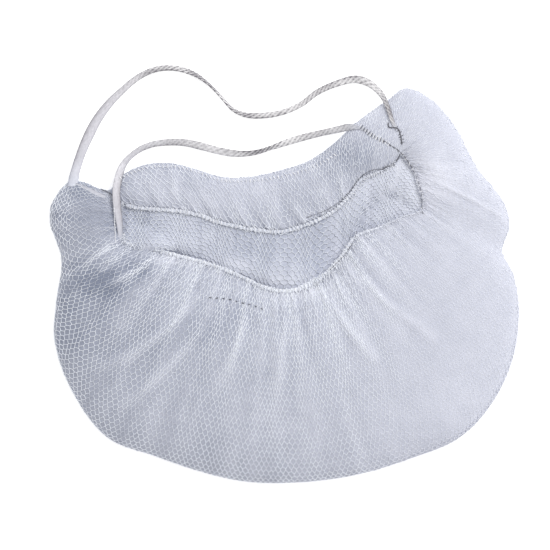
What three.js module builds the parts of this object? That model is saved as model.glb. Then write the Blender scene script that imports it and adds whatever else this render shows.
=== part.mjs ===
// A disposable beard net, laid flat with its mouth up. A gathered net pouch takes the
// beard, and two elastics are each sewn into one rim of its mouth and run on as a free
// loop that goes behind the ears. Millimetres. +X runs to the right of the laid net, +Y
// to its far side and +Z up, with the origin on the table under the middle of the pouch.
import * as THREE from 'three';

// The net pouch as it lies.
const pouchWidth = 281;
const pouchDepth = 236;
const pouchLoft = 27;
const netWall = 1.2;
const foldRadius = 3;
const gatherHeight = 2.2;
const gathersPerSection = 1;

// The elastic, flat where it lies free and rolled into the net along the two rims.
const elasticWidth = 4.2;
const elasticThickness = 1.8;
const hemWidth = 3.8;
const hemHeight = 3.4;
const seamClearance = 0.3;

// How finely the curves are faceted.
const columnsPerSection = 4;
const hemStep = 6;
const elasticStep = 8;
const elasticSides = 8;

// One row for each section from the mouth's rim out to the fold, going round the mouth
// from its left end past the near side. rimX to foldY are shares of half the pouch's
// width and depth. rim and crown are heights, as shares of the loft, and gather is the
// share of the full gather height.
const sectionColumns = ['rimX', 'rimY', 'foldX', 'foldY', 'rim', 'crown', 'gather'];
const sections = [
  [-0.70, 0.32, -1.00, 0.32, 0.42, 0.62, 0.7],
  [-0.69, 0.24, -0.95, 0.13, 0.46, 0.66, 0.8],
  [-0.67, 0.20, -0.97, -0.06, 0.50, 0.78, 1.0],
  [-0.58, 0.18, -0.98, -0.28, 0.52, 0.88, 1.0],
  [-0.49, 0.15, -0.91, -0.53, 0.54, 0.95, 1.0],
  [-0.39, 0.12, -0.76, -0.77, 0.55, 1.00, 1.0],
  [-0.28, 0.08, -0.55, -0.87, 0.56, 1.00, 1.0],
  [-0.18, 0.03, -0.35, -0.95, 0.57, 1.00, 1.0],
  [-0.09, -0.02, -0.15, -1.00, 0.58, 1.00, 1.0],
  [0.01, -0.04, 0.09, -1.00, 0.58, 1.00, 1.0],
  [0.11, -0.01, 0.32, -0.96, 0.58, 1.00, 0.9],
  [0.19, 0.06, 0.54, -0.88, 0.57, 0.99, 0.9],
  [0.25, 0.14, 0.74, -0.78, 0.56, 0.97, 0.8],
  [0.31, 0.24, 0.88, -0.61, 0.55, 0.93, 0.7],
  [0.41, 0.29, 0.97, -0.39, 0.54, 0.88, 0.6],
  [0.50, 0.34, 1.00, -0.16, 0.53, 0.82, 0.5],
  [0.57, 0.37, 0.98, 0.04, 0.52, 0.76, 0.5],
  [0.59, 0.42, 0.93, 0.17, 0.50, 0.70, 0.5],
  [0.57, 0.49, 0.96, 0.30, 0.48, 0.72, 0.5],
  [0.55, 0.57, 0.93, 0.43, 0.46, 0.72, 0.5],
  [0.52, 0.62, 0.82, 0.60, 0.45, 0.70, 0.5],
  [0.50, 0.66, 0.73, 0.80, 0.44, 0.66, 0.5],
  [0.49, 0.66, 0.63, 0.94, 0.43, 0.58, 0.4],
  [0.46, 0.62, 0.52, 1.00, 0.42, 0.54, 0.4],
  [0.40, 0.58, 0.44, 0.94, 0.42, 0.54, 0.5],
  [0.32, 0.54, 0.31, 0.83, 0.42, 0.52, 0.6],
  [0.27, 0.46, 0.21, 0.72, 0.42, 0.50, 0.8],
  [0.20, 0.38, 0.10, 0.63, 0.42, 0.50, 0.9],
  [0.10, 0.32, -0.03, 0.58, 0.42, 0.50, 1.0],
  [-0.02, 0.28, -0.15, 0.55, 0.42, 0.50, 1.0],
  [-0.15, 0.28, -0.27, 0.55, 0.42, 0.50, 1.0],
  [-0.27, 0.30, -0.38, 0.59, 0.42, 0.50, 1.0],
  [-0.38, 0.35, -0.49, 0.62, 0.42, 0.50, 0.9],
  [-0.50, 0.38, -0.60, 0.61, 0.42, 0.50, 0.8],
  [-0.62, 0.40, -0.69, 0.56, 0.41, 0.48, 0.6],
  [-0.68, 0.42, -0.72, 0.52, 0.40, 0.42, 0.3],
  [-0.70, 0.42, -0.76, 0.48, 0.40, 0.42, 0.2],
  [-0.70, 0.40, -0.90, 0.53, 0.40, 0.46, 0.4],
  [-0.70, 0.37, -0.98, 0.44, 0.40, 0.56, 0.6],
];

// The sections that each rim elastic runs along, counted as rows of the table, with a
// share of a row left open where the two meet.
const nearRimFrom = 0.5;
const nearRimTo = 19.4;
const farRimFrom = 23.2;
const farRimTo = 35.3;

// Where the far elastic runs on over the left lobe's folded edge, out to its corner, as
// shares of half the pouch's width, of half its depth and of its loft.
const lobeEdge = [
  [-0.76, 0.44, 0.53],
  [-0.80, 0.46, 0.52],
  [-0.84, 0.48, 0.49],
  [-0.89, 0.50, 0.41],
];

// The free loops, each point laid by hand: right, far, and the middle's height above
// the table. The loops climb onto the net where they are sewn to it.
const farLoopRoute = [
  [65.3, 71.7, 13.9],
  [66.6, 74.6, 16.0],
  [68.6, 78.2, 17.8],
  [69.8, 83.0, 17.9],
  [69.2, 88.4, 16.4],
  [66.4, 93.4, 15.6],
  [63.8, 99.0, 14.2],
  [62.0, 104.8, 12.2],
  [59.6, 111.2, 7.0],
  [56.2, 116.6, 2.2],
  [50.4, 121.2, 1.0],
  [42.6, 123.4, 1.0],
  [31.6, 120.9, 1.0],
  [19.6, 115.6, 1.0],
  [10.0, 108.4, 1.0],
  [-2.0, 103.4, 1.0],
  [-13.5, 101.6, 1.0],
  [-23.4, 102.0, 1.0],
  [-30.8, 105.2, 1.0],
  [-36.0, 110.6, 1.0],
  [-41.4, 116.6, 1.0],
  [-46.6, 121.4, 1.0],
  [-52.8, 125.8, 1.0],
  [-60.8, 129.0, 1.0],
  [-70.0, 130.2, 1.0],
  [-79.0, 128.8, 1.0],
  [-88.0, 124.4, 1.0],
  [-97.0, 117.0, 1.0],
  [-105.0, 109.0, 1.0],
  [-112.2, 99.4, 1.0],
  [-117.4, 89.6, 1.0],
  [-121.2, 80.8, 1.7],
  [-124.4, 72.0, 4.0],
  [-126.6, 64.4, 7.0],
];
const nearLoopRoute = [
  [-95.4, 34.4, 12.9],
  [-97.6, 38.4, 14.1],
  [-99.4, 44.0, 14.4],
  [-100.0, 50.0, 14.8],
  [-100.2, 56.0, 13.8],
  [-99.6, 62.0, 10.0],
  [-98.4, 67.4, 5.0],
  [-96.6, 72.2, 1.8],
  [-92.6, 77.0, 1.0],
  [-86.6, 81.4, 1.0],
  [-79.0, 84.4, 1.0],
  [-69.8, 85.6, 1.0],
  [-60.0, 85.4, 1.0],
  [-50.2, 83.4, 1.0],
  [-39.8, 80.6, 1.0],
  [-29.0, 78.8, 1.0],
  [-18.4, 79.3, 1.0],
  [-7.6, 82.4, 1.0],
  [3.2, 86.2, 1.0],
  [14.2, 89.3, 1.0],
  [25.0, 91.8, 1.1],
  [33.0, 93.4, 3.4],
  [39.2, 94.4, 7.6],
  [45.6, 93.6, 12.2],
  [51.6, 90.4, 15.2],
  [57.4, 87.0, 16.0],
  [62.6, 83.8, 15.8],
  [66.2, 81.2, 15.3],
  [69.4, 78.6, 14.6],
  [72.0, 75.6, 14.2],
  [73.1, 72.4, 14.0],
  [73.0, 70.6, 13.8],
];

const netMaterial = new THREE.MeshStandardMaterial({ color: 0xd2d4df, roughness: 0.85, metalness: 0 });
const hemMaterial = new THREE.MeshStandardMaterial({ color: 0xdcdce4, roughness: 0.8, metalness: 0 });
const elasticMaterial = new THREE.MeshStandardMaterial({ color: 0xe4e1e2, roughness: 0.75, metalness: 0 });

// A smooth closed curve through one column of the section table, read at any row.
function sectionValue(column, row) {
  const index = sectionColumns.indexOf(column);
  const count = sections.length;
  const base = Math.floor(row);
  const share = row - base;
  const at = (step) => sections[(base + step + count) % count][index];
  const [before, start, end, after] = [at(-1), at(0), at(1), at(2)];
  const slope = (end - before) / 2;
  const nextSlope = (after - start) / 2;
  const rise = end - start;
  const square = 3 * rise - 2 * slope - nextSlope;
  const cube = slope + nextSlope - 2 * rise;
  return start + share * (slope + share * (square + share * cube));
}

function rimPlace(row) {
  const x = sectionValue('rimX', row) * pouchWidth / 2;
  const y = sectionValue('rimY', row) * pouchDepth / 2;
  return new THREE.Vector2(x, y);
}

function foldPlace(row) {
  const x = sectionValue('foldX', row) * pouchWidth / 2;
  const y = sectionValue('foldY', row) * pouchDepth / 2;
  return new THREE.Vector2(x, y);
}

function rimTop(row) {
  return sectionValue('rim', row) * pouchLoft;
}

// Height of the net's outer face at a share of the way from rim to fold. It swells from
// the rim to the crown, falls round to the fold, and carries the gathers, which are
// deepest at the rim and die out before the fold.
const crownShare = 0.42;
const fallPower = 2.4;
const gatherReach = 0.85;
function outerHeight(row, share) {
  const crown = sectionValue('crown', row) * pouchLoft;
  const fall = foldRadius + (crown - foldRadius) * Math.sqrt(1 - share ** fallPower);
  const toCrown = Math.max(0, 1 - share / crownShare);
  const sink = (crown - rimTop(row)) * toCrown ** 2;
  const fade = Math.max(0, 1 - share / gatherReach) ** 1.5;
  const wave = Math.cos(2 * Math.PI * gathersPerSection * row);
  const gather = sectionValue('gather', row) * gatherHeight * fade * wave / 2;
  return fall - sink + gather;
}

// One face of the pouch, as rings of points from the rim over the crown to the fold and
// under it to the flat bottom. The inner face is the outer one moved in by the wall.
const topShares = [0, 0.07, 0.17, 0.3, 0.45, 0.62, 0.78, 0.9, 0.97, 1];
const underAngles = [Math.PI / 4, Math.PI / 2];
function pouchFace(inset) {
  const columns = sections.length * columnsPerSection;
  const rings = topShares.length + underAngles.length;
  const face = Array.from({ length: rings }, () => []);
  for (let column = 0; column < columns; column += 1) {
    const row = column / columnsPerSection;
    const rim = rimPlace(row);
    const reach = foldPlace(row).sub(rim);
    const length = reach.length() - inset;
    const outward = reach.normalize();
    topShares.forEach((share, ring) => {
      const place = rim.clone().addScaledVector(outward, share * length);
      const height = outerHeight(row, share);
      const drop = inset * (1 - share ** 4);
      face[ring].push(new THREE.Vector3(place.x, place.y, height - drop));
    });
    const radius = foldRadius - inset;
    underAngles.forEach((angle, step) => {
      const away = length - radius * (1 - Math.cos(angle));
      const place = rim.clone().addScaledVector(outward, away);
      const height = foldRadius - radius * Math.sin(angle);
      face[topShares.length + step].push(new THREE.Vector3(place.x, place.y, height));
    });
  }
  return face;
}

// The pouch: outer and inner faces joined round the rim, each closed by its flat bottom.
function netPouch() {
  const outer = pouchFace(0);
  const inner = pouchFace(netWall);
  const places = [];
  const triangles = [];
  const columns = outer[0].length;
  const startOf = (faces) => faces.map((ring) => {
    const start = places.length / 3;
    ring.forEach((point) => places.push(point.x, point.y, point.z));
    return start;
  });
  const outerStarts = startOf(outer);
  const innerStarts = startOf(inner);
  const band = (from, to) => {
    for (let column = 0; column < columns; column += 1) {
      const next = (column + 1) % columns;
      triangles.push(from + column, to + column, to + next);
      triangles.push(from + column, to + next, from + next);
    }
  };
  for (let ring = 0; ring + 1 < outerStarts.length; ring += 1) {
    band(outerStarts[ring], outerStarts[ring + 1]);
    band(innerStarts[ring + 1], innerStarts[ring]);
  }
  band(innerStarts[0], outerStarts[0]);
  const bottom = (ring, start, facingUp) => {
    const outline = ring.map((point) => new THREE.Vector2(point.x, point.y));
    THREE.ShapeUtils.triangulateShape(outline, []).forEach(([a, b, c]) => {
      const ends = facingUp ? [a, b, c] : [a, c, b];
      triangles.push(...ends.map((end) => start + end));
    });
  };
  bottom(outer.at(-1), outerStarts.at(-1), false);
  bottom(inner.at(-1), innerStarts.at(-1), true);
  const geometry = new THREE.BufferGeometry();
  geometry.setAttribute('position', new THREE.Float32BufferAttribute(places, 3));
  geometry.setIndex(triangles);
  geometry.computeVertexNormals();
  return new THREE.Mesh(geometry, netMaterial);
}

// A flattened round section, with its thickness upright and its width across.
function ovalSection(thickness, width, sides) {
  const outline = [];
  for (let side = 0; side < sides; side += 1) {
    const angle = 2 * Math.PI * (side + 0.5) / sides;
    const widen = 1 / Math.cos(Math.PI / sides);
    const x = Math.cos(angle) * widen * thickness / 2;
    const y = Math.sin(angle) * widen * width / 2;
    outline.push(new THREE.Vector2(x, y));
  }
  return new THREE.Shape(outline);
}

// A curve whose section stays level across, however the curve climbs.
class LevelCurve extends THREE.CatmullRomCurve3 {
  computeFrenetFrames(segments) {
    const tangents = [];
    const normals = [];
    const binormals = [];
    for (let step = 0; step <= segments; step += 1) {
      const tangent = this.getTangentAt(step / segments);
      const across = new THREE.Vector3(0, 0, 1).cross(tangent).normalize();
      tangents.push(tangent);
      normals.push(new THREE.Vector3().crossVectors(tangent, across));
      binormals.push(across.negate());
    }
    return { tangents, normals, binormals };
  }
}

function elasticAlong(points, thickness, width, step, material) {
  const path = new LevelCurve(points, false, 'centripetal');
  const section = ovalSection(thickness, width, elasticSides);
  const steps = Math.round(path.getLength() / step);
  const geometry = new THREE.ExtrudeGeometry(section, { steps, extrudePath: path, bevelEnabled: false });
  return new THREE.Mesh(geometry, material);
}

// A point of the rolled hem beside the rim, on the mouth's side of it.
function hemPoint(row) {
  const count = sections.length;
  const ahead = rimPlace((row + 0.25) % count);
  const behind = rimPlace((row - 0.25 + count) % count);
  const along = ahead.sub(behind).normalize();
  const away = hemWidth / 2 + seamClearance;
  const place = rimPlace(row).addScaledVector(new THREE.Vector2(-along.y, along.x), away);
  return new THREE.Vector3(place.x, place.y, rimTop(row) - netWall / 2);
}

function hemPoints(from, to) {
  const points = [];
  const pieces = Math.round((to - from) / 0.5);
  for (let piece = 0; piece <= pieces; piece += 1) {
    points.push(hemPoint(from + (to - from) * piece / pieces));
  }
  return points;
}

function named(name, mesh) {
  mesh.name = name;
  return mesh;
}

const vectors = (route) => route.map(([x, y, z]) => new THREE.Vector3(x, y, z));
const overLobe = lobeEdge.map(([x, y, height]) => {
  return new THREE.Vector3(x * pouchWidth / 2, y * pouchDepth / 2, height * pouchLoft);
});
const nearRim = hemPoints(nearRimFrom, nearRimTo);
const farRim = hemPoints(farRimFrom, farRimTo);

const group = new THREE.Group();
group.add(named('net_pouch', netPouch()));
group.add(named('near_rim_elastic', elasticAlong(nearRim, hemHeight, hemWidth, hemStep, hemMaterial)));
group.add(named('far_rim_elastic', elasticAlong(farRim, hemHeight, hemWidth, hemStep, hemMaterial)));
const flatElastic = (points, step) => {
  return elasticAlong(points, elasticThickness, elasticWidth, step, elasticMaterial);
};
group.add(named('lobe_edge_elastic', flatElastic(overLobe, hemStep)));
group.add(named('near_ear_loop', flatElastic(vectors(nearLoopRoute), elasticStep)));
group.add(named('far_ear_loop', flatElastic(vectors(farLoopRoute), elasticStep)));
export default group;
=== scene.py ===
import math

import bpy
import numpy as np
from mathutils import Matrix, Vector, geometry
from mathutils.bvhtree import BVHTree


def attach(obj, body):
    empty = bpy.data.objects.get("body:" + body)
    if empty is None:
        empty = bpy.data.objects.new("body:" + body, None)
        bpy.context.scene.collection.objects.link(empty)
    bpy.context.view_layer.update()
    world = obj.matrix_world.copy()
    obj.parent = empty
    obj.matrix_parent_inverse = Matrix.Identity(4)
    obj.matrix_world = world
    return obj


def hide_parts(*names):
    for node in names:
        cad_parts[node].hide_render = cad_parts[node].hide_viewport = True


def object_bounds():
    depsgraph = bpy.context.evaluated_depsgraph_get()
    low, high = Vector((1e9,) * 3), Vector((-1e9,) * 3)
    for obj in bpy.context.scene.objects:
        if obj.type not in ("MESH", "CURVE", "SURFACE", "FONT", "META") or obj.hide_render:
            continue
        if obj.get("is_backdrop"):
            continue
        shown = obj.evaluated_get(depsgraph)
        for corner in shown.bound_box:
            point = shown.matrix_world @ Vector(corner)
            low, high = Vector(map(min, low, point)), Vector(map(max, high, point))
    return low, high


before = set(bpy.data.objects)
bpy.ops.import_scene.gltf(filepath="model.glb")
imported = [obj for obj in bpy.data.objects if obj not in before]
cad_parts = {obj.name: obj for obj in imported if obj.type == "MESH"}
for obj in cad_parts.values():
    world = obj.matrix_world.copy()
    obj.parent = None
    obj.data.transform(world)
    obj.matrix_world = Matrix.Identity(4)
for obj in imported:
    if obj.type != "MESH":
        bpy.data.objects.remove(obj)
cad_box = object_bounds()


# The view. The net lies on a white table and is seen from straight above, so that the
# picture is 330 mm across, with its middle a little left of and beyond the net's own.
PICTURE_WIDTH = 0.330
PICTURE_MIDDLE = (-0.0057, 0.0060)
VIEW_HEIGHT = 2.0
SENSOR_WIDTH = 36.0

camera_data = bpy.data.cameras.new("overhead_camera")
camera_data.sensor_width = SENSOR_WIDTH
camera_data.lens = SENSOR_WIDTH * VIEW_HEIGHT / PICTURE_WIDTH
camera = bpy.data.objects.new("overhead_camera", camera_data)
camera.location = (*PICTURE_MIDDLE, VIEW_HEIGHT)
bpy.context.collection.objects.link(camera)
bpy.context.scene.camera = camera
bpy.context.scene.view_settings.view_transform = "Standard"


# The ear loops. Each is the free stretch of one flat braided elastic, soft white
# polyester over rubber, which leaves the rim it is sewn into and comes back at the
# other end. It lies loosely on the table and rolls onto its edge in the bends.
MM = 0.001
ELASTIC_WIDTH = 4.2 * MM
ELASTIC_THICKNESS = 1.3 * MM
BRAID_PITCH = 3.4 * MM
BRAID_SLANT = 0.8
BRAID_RELIEF = 0.24 * MM
STRAND_ROUNDNESS = 0.7
STRAND_DIP = 0.2
SHIFT_BELOW = 0.5
SIDE_RELIEF = 0.5
RIBBON_STEP = 0.4 * MM
RIBBON_SIDES = 28
RIBBON_SIDE_ROUNDNESS = 0.8
RIBBON_FACE_ROUNDNESS = 0.7
EDGE_SHADE_NARROWNESS = 6
TABLE_GAP = 0.15 * MM
SPLINE_SAMPLES = 24
FAR_LOOP_LENGTH = 0.297
NEAR_LOOP_LENGTH = 0.241

# The braid tightens and slackens a little along the elastic: by how many of its pitches,
# over what length and from what turn.
BRAID_WANDERS = ((0.22, 7.3 * MM, 0), (0.16, 2.9 * MM, 1))

# Each loop's route in mm, from where it leaves its rim to where it goes back in.
FAR_LOOP_ROUTE = (
    (65.3, 71.7, 10.0), (66.6, 74.6, 10.6), (68.6, 78.2, 12.2), (69.8, 83.0, 13.3),
    (69.2, 88.4, 13.7), (66.4, 93.4, 13.6), (63.8, 99.0, 13.5), (62.0, 104.8, 11.4),
    (59.6, 111.2, 7.0), (56.2, 116.6, 2.2), (50.4, 121.2, 1.0), (42.6, 123.4, 1.0),
    (31.6, 120.9, 1.0), (19.6, 115.6, 1.0), (10.0, 108.4, 1.0), (-2.0, 103.4, 1.0),
    (-13.5, 101.6, 1.0), (-23.4, 102.0, 1.0), (-30.8, 105.2, 1.0), (-36.0, 110.6, 1.0),
    (-41.4, 116.6, 1.0), (-46.6, 121.4, 1.0), (-52.8, 125.8, 1.0), (-60.8, 129.0, 1.0),
    (-70.0, 130.2, 1.0), (-79.0, 128.8, 1.0), (-88.0, 124.4, 1.0), (-97.0, 117.0, 1.0),
    (-105.0, 109.0, 1.0), (-112.2, 99.4, 1.0), (-117.4, 89.6, 1.0), (-121.2, 80.8, 1.7),
    (-124.2, 72.0, 2.6), (-126.0, 64.4, 5.6), (-126.4, 58.6, 8.2),
)
NEAR_LOOP_ROUTE = (
    (-98.2, 25.0, 12.4), (-98.0, 31.0, 13.6), (-98.6, 38.4, 14.2), (-99.4, 44.0, 14.4),
    (-100.0, 50.0, 14.8), (-100.2, 56.0, 13.8), (-99.6, 62.0, 10.0), (-98.4, 67.4, 5.0),
    (-96.6, 72.2, 1.8), (-92.6, 77.0, 1.0), (-86.6, 81.4, 1.0), (-79.0, 84.4, 1.0), (-69.8, 85.6, 1.0),
    (-60.0, 85.4, 1.0), (-50.2, 83.4, 1.0), (-39.8, 80.6, 1.0), (-29.0, 78.8, 1.0),
    (-18.4, 79.3, 1.0), (-7.6, 82.4, 1.0), (3.2, 86.2, 1.0), (14.2, 89.3, 1.0),
    (25.0, 91.8, 1.1), (33.0, 93.4, 3.4), (39.2, 94.4, 7.6), (45.6, 93.6, 10.2),
    (51.6, 90.4, 12.0), (57.4, 87.0, 13.3), (62.6, 83.8, 13.5), (66.2, 81.2, 13.1),
    (69.4, 78.6, 12.0), (72.0, 75.6, 11.8), (73.1, 72.4, 10.2), (73.0, 70.6, 10.2),
)

# How the elastic lies along each loop: the share of the route, the share of its full
# width that it is spread or drawn to, how far it is rolled onto its edge in degrees, how
# plainly its braid shows, and how far the net that it is sewn into covers it.
LAY_COLUMNS = ("along", "spread", "roll", "braid", "covered")
FAR_LOOP_LAY = (
    (0.00, 0.50, 0, 0.8, 1.0), (0.075, 0.50, 0, 0.8, 1.0), (0.10, 0.60, 0, 1.0, 0.0),
    (0.14, 0.72, 0, 1.0, 0.0), (0.18, 0.95, 8, 1.0, 0.0), (0.22, 1.15, 0, 1.0, 0.0),
    (0.28, 0.92, 18, 1.0, 0.0), (0.36, 0.86, 25, 1.0, 0.0), (0.45, 0.90, 20, 1.0, 0.0),
    (0.51, 0.72, 52, 1.5, 0.0), (0.57, 0.66, 62, 1.7, 0.0), (0.62, 0.86, 28, 1.4, 0.0),
    (0.70, 0.88, 22, 0.9, 0.0), (0.76, 0.96, 15, 0.5, 0.0), (0.82, 1.25, 8, 0.2, 0.0),
    (0.88, 1.45, 0, 0.1, 0.0), (0.93, 1.28, 0, 0.1, 0.1), (0.965, 1.30, 0, 0.1, 0.4),
    (1.00, 1.60, 0, 0.1, 1.0),
)
NEAR_LOOP_LAY = (
    (0.00, 0.50, 0, 0.1, 1.0), (0.03, 0.74, 0, 0.1, 0.5), (0.06, 1.00, 0, 0.1, 0.1),
    (0.10, 1.12, 0, 0.1, 0.0), (0.19, 1.12, 0, 0.3, 0.0),
    (0.24, 0.86, 32, 0.4, 0.0), (0.32, 0.90, 20, 0.7, 0.0), (0.42, 1.12, 0, 0.8, 0.0),
    (0.50, 1.02, 8, 0.8, 0.0), (0.55, 0.84, 30, 1.1, 0.0), (0.60, 0.76, 42, 1.3, 0.0),
    (0.66, 1.02, 0, 1.0, 0.0), (0.74, 0.92, 15, 0.9, 0.0), (0.80, 1.06, 0, 0.8, 0.1),
    (0.84, 0.60, 0, 0.8, 0.8), (0.88, 0.50, 0, 0.8, 1.0), (1.00, 0.50, 0, 0.8, 1.0),
)


def smooth_route(points, step):
    """Evenly spaced points on a centripetal spline through the given ones."""
    points = np.array(points, float)
    ends = np.vstack([2 * points[0] - points[1], points, 2 * points[-1] - points[-2]])
    dense = []
    for p0, p1, p2, p3 in zip(ends, ends[1:], ends[2:], ends[3:]):
        spans = [np.linalg.norm(b - a) ** 0.5 for a, b in ((p0, p1), (p1, p2), (p2, p3))]
        t0, t1, t2, t3 = np.cumsum([0.0, *spans])
        t = np.linspace(t1, t2, SPLINE_SAMPLES, endpoint=False)[:, None]
        a1 = (t1 - t) / (t1 - t0) * p0 + (t - t0) / (t1 - t0) * p1
        a2 = (t2 - t) / (t2 - t1) * p1 + (t - t1) / (t2 - t1) * p2
        a3 = (t3 - t) / (t3 - t2) * p2 + (t - t2) / (t3 - t2) * p3
        b1 = (t2 - t) / (t2 - t0) * a1 + (t - t0) / (t2 - t0) * a2
        b2 = (t3 - t) / (t3 - t1) * a2 + (t - t1) / (t3 - t1) * a3
        dense.append((t2 - t) / (t2 - t1) * b1 + (t - t1) / (t2 - t1) * b2)
    dense = np.vstack([*dense, points[-1:]])
    along = np.concatenate([[0], np.cumsum(np.linalg.norm(np.diff(dense, axis=0), axis=1))])
    stations = np.linspace(0, along[-1], max(2, round(along[-1] / step)) + 1)
    return np.stack([np.interp(stations, along, dense[:, axis]) for axis in range(3)], axis=1)


def level_frame(path):
    """The direction along a path, level across it, and square to both, at each point."""
    along = np.gradient(path, axis=0)
    along /= np.linalg.norm(along, axis=1, keepdims=True)
    across = np.cross((0.0, 0.0, 1.0), along)
    across /= np.linalg.norm(across, axis=1, keepdims=True)
    return along, across, np.cross(along, across)


def piece_from(name, points, faces, edges=()):
    """A new object whose mesh has these points, with its object at the origin."""
    mesh = bpy.data.meshes.new(name)
    mesh.from_pydata([tuple(point) for point in points], [tuple(edge) for edge in edges], faces)
    mesh.update()
    piece = bpy.data.objects.new(name, mesh)
    bpy.context.collection.objects.link(piece)
    return piece


def store(piece, name, values):
    """Keeps one number for each point of a piece, for its material to read."""
    kept = piece.data.attributes.new(name, "FLOAT", "POINT")
    kept.data.foreach_set("value", np.asarray(values, np.float32).ravel())


def shade_smooth(piece):
    """Shades every face of a piece smoothly."""
    piece.data.polygons.foreach_set("use_smooth", [True] * len(piece.data.polygons))


def tube_faces(rings, sides):
    """The faces of a tube with both ends closed, for points kept ring after ring."""
    faces = []
    for ring in range(rings - 1):
        for side in range(sides):
            here, beside = ring * sides + side, ring * sides + (side + 1) % sides
            faces.append((here, here + sides, beside + sides, beside))
    faces.append(tuple(range(sides)))
    faces.append(tuple((rings - 1) * sides + side for side in reversed(range(sides))))
    return faces


def braid_height(along, across):
    """Relief of a flat braid, 0 in its pits and 1 on its strands."""
    first = along + across * BRAID_SLANT
    second = along - across * BRAID_SLANT
    dip = STRAND_DIP * np.cos(2 * np.pi * second), -STRAND_DIP * np.cos(2 * np.pi * first)
    over, under = (
        np.abs(np.cos(np.pi * strand)) ** STRAND_ROUNDNESS * (1 - STRAND_DIP + change)
        for strand, change in zip((first, second), dip)
    )
    return np.maximum(over, under)


def elastic_ribbon(name, path, lay):
    """Flat braided elastic along a path, in metres, spread and rolled as the lay says."""
    lay = np.array(lay)
    stations = len(path)
    share = np.linspace(0, 1, stations)
    read = {
        column: np.interp(share, lay[:, 0], lay[:, index]) for index, column in enumerate(LAY_COLUMNS)
    }
    width = ELASTIC_WIDTH * read["spread"]
    roll = np.radians(read["roll"])
    along, across, up = level_frame(path)
    lift = np.abs(np.sin(roll)) * width / 2 + np.cos(roll) * ELASTIC_THICKNESS / 2 + TABLE_GAP
    centre = path.copy()
    centre[:, 2] = np.maximum(centre[:, 2], lift)
    side_way = across * np.cos(roll)[:, None] + up * np.sin(roll)[:, None]
    face_way = up * np.cos(roll)[:, None] - across * np.sin(roll)[:, None]
    angle = np.arange(RIBBON_SIDES) * 2 * np.pi / RIBBON_SIDES
    flat = np.sign(np.cos(angle)) * np.abs(np.cos(angle)) ** RIBBON_SIDE_ROUNDNESS
    thick = np.sign(np.sin(angle)) * np.abs(np.sin(angle)) ** RIBBON_FACE_ROUNDNESS
    distance = share * np.linalg.norm(np.diff(path, axis=0), axis=1).sum()
    wander = sum(size * np.sin(distance / length + turn) for size, length, turn in BRAID_WANDERS)
    turns = (distance / BRAID_PITCH + wander)[:, None]
    relief = braid_height(turns, flat[None, :] + SHIFT_BELOW * (thick[None, :] < 0))
    sunk = (1 - relief) * read["braid"][:, None]
    half_width = width[:, None] / 2 - SIDE_RELIEF * sunk * BRAID_RELIEF * np.abs(flat)
    half_thickness = ELASTIC_THICKNESS / 2 - sunk * BRAID_RELIEF
    points = (
        centre[:, None, :]
        + side_way[:, None, :] * (half_width * flat)[:, :, None]
        + face_way[:, None, :] * (half_thickness * thick)[:, :, None]
    )
    ribbon = piece_from(name, points.reshape(-1, 3), tube_faces(stations, RIBBON_SIDES))
    # The pits and the edges are kept for the material to paint shade into them.
    store(ribbon, "painted_pit_shade", sunk)
    store(ribbon, "covered", np.broadcast_to(read["covered"][:, None], relief.shape))
    store(ribbon, "edge", np.broadcast_to(np.abs(flat) ** EDGE_SHADE_NARROWNESS, relief.shape))
    store(ribbon, "aside", np.broadcast_to(flat, relief.shape))
    store(ribbon, "run", np.broadcast_to(distance[:, None] / BRAID_PITCH, relief.shape))
    store(ribbon, "plain", np.broadcast_to(1 - read["braid"][:, None], relief.shape))
    shade_smooth(ribbon)
    return ribbon, centre


class Value:
    """One output of a shader node. Sums with it add Math nodes to the same material."""

    def __init__(self, finish, socket):
        self.finish = finish
        self.socket = socket

    def maths(self, operation, *terms):
        """A Math node on this value and others."""
        return self.finish.node("ShaderNodeMath", {"operation": operation}, dict(enumerate(terms)))

    def __add__(self, other):
        return self.maths("ADD", self, other)

    def __sub__(self, other):
        return self.maths("SUBTRACT", self, other)

    def __rsub__(self, other):
        return self.maths("SUBTRACT", other, self)

    def __mul__(self, other):
        return self.maths("MULTIPLY", self, other)

    def __pow__(self, other):
        return self.maths("POWER", self, other)

    def held(self):
        """The value kept from 0 to 1."""
        return self.finish.node("ShaderNodeClamp", {}, {"Value": self})

    __radd__ = __add__
    __rmul__ = __mul__


def add_node(tree, kind, settings, inputs):
    """A new node in a tree, with its settings first and then its inputs' values or links."""
    made = tree.nodes.new(kind)
    for name, setting in settings.items():
        setattr(made, name, setting)
    for key, given in inputs.items():
        if isinstance(given, bpy.types.NodeSocket):
            tree.links.new(given, made.inputs[key])
        else:
            made.inputs[key].default_value = given
    return made


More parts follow.
